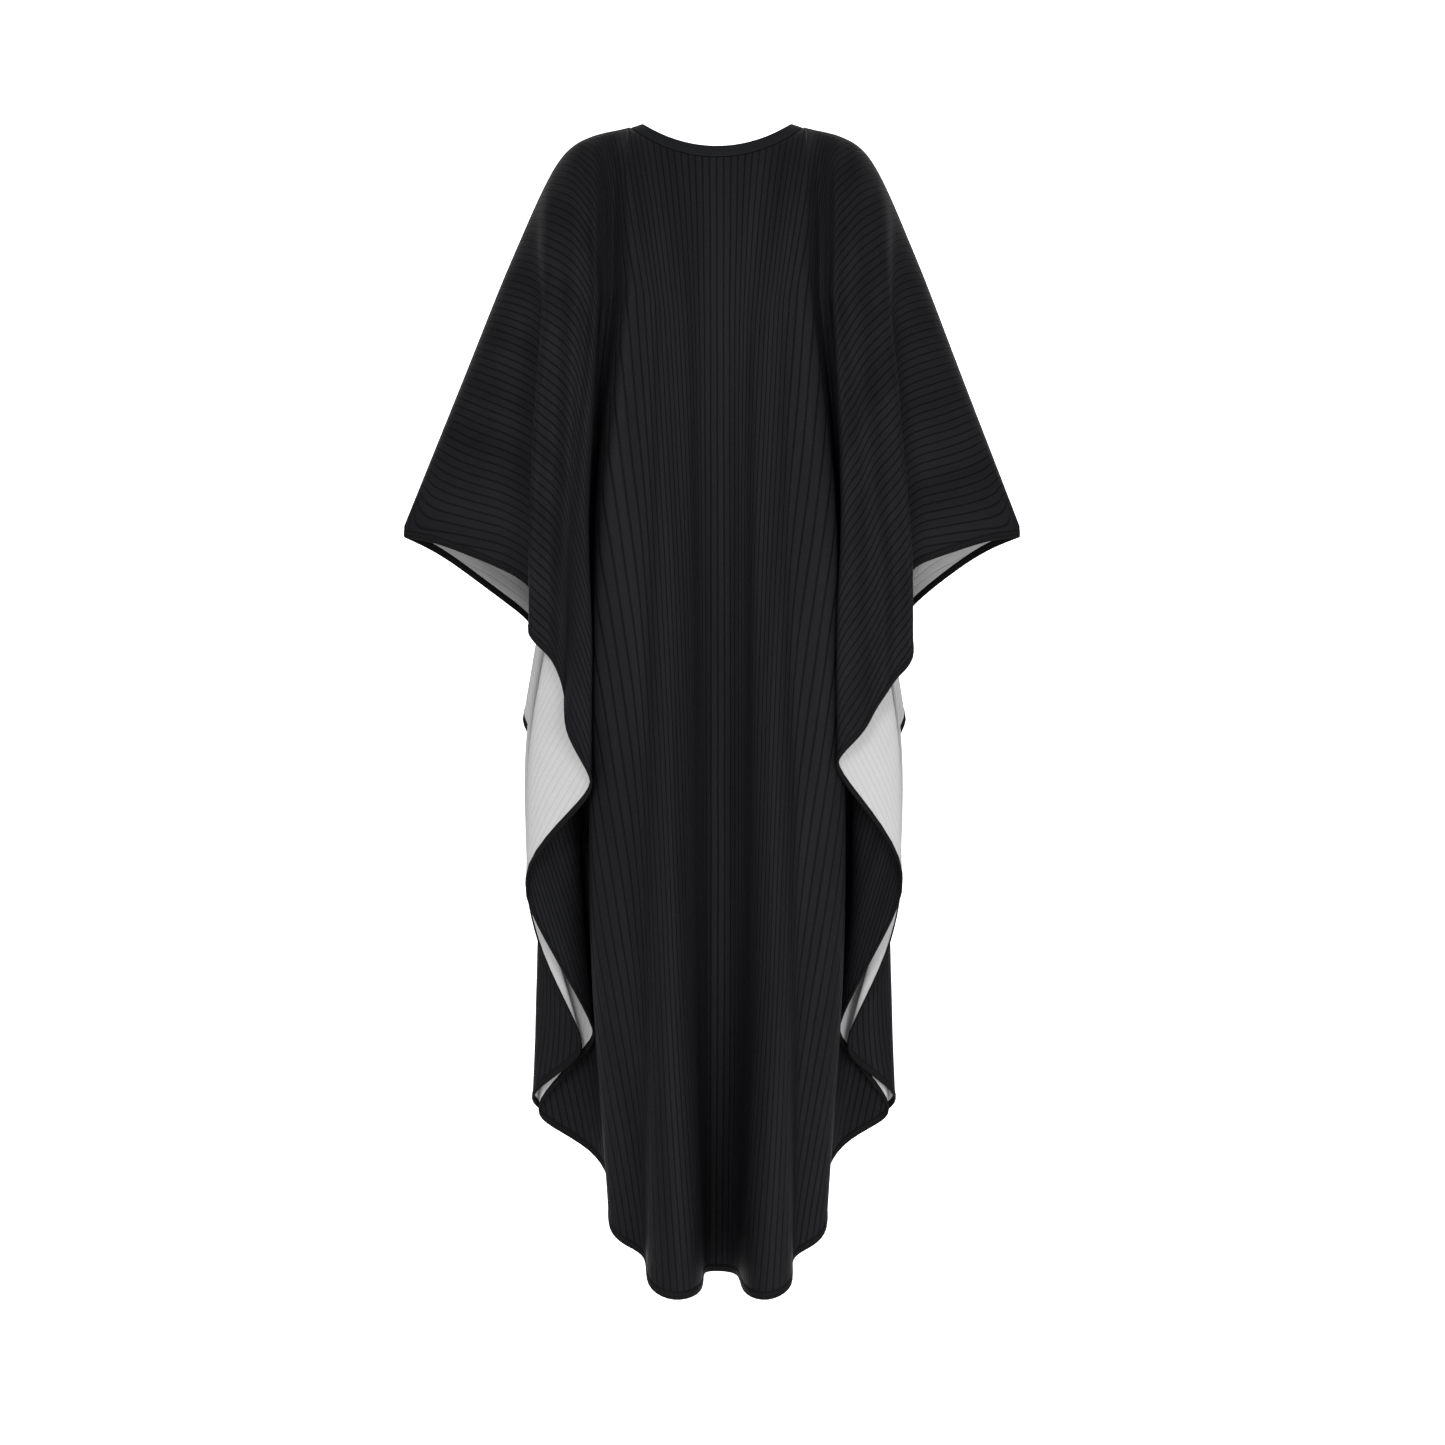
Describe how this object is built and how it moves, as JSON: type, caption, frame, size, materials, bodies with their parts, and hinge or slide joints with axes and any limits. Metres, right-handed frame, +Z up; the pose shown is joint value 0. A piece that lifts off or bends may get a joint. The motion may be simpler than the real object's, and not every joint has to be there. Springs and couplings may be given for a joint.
{
  "type": "kaftan",
  "caption": "Wide ankle-length kaftan filled out as worn, with a round banded neck, sleeves cut in one over lowered arms, and side cloth falling in stacked folds to a curved, stepped edge.",
  "frame": {"origin": "midway between the two neck points, at the height where the shoulders hold the garment", "axes": "+Z up along the hanging cloth, +X to the right as seen from the back of the garment, +Y towards the front of the garment"},
  "size_m": [0.7121, 0.2851, 1.3167],
  "materials": {
    "cloth": "matt near-black weave with fine ribs outside, light grey inside",
    "hem_cloth": "matt near-black turned edge, stitched",
    "band_cloth": "matt near-black band"
  },
  "bodies": {
    "root": {"back_panel": "cloth", "front_panel": "cloth", "back_hem": "hem_cloth", "front_hem": "hem_cloth", "neckband": "band_cloth"}
  },
  "joints": []
}
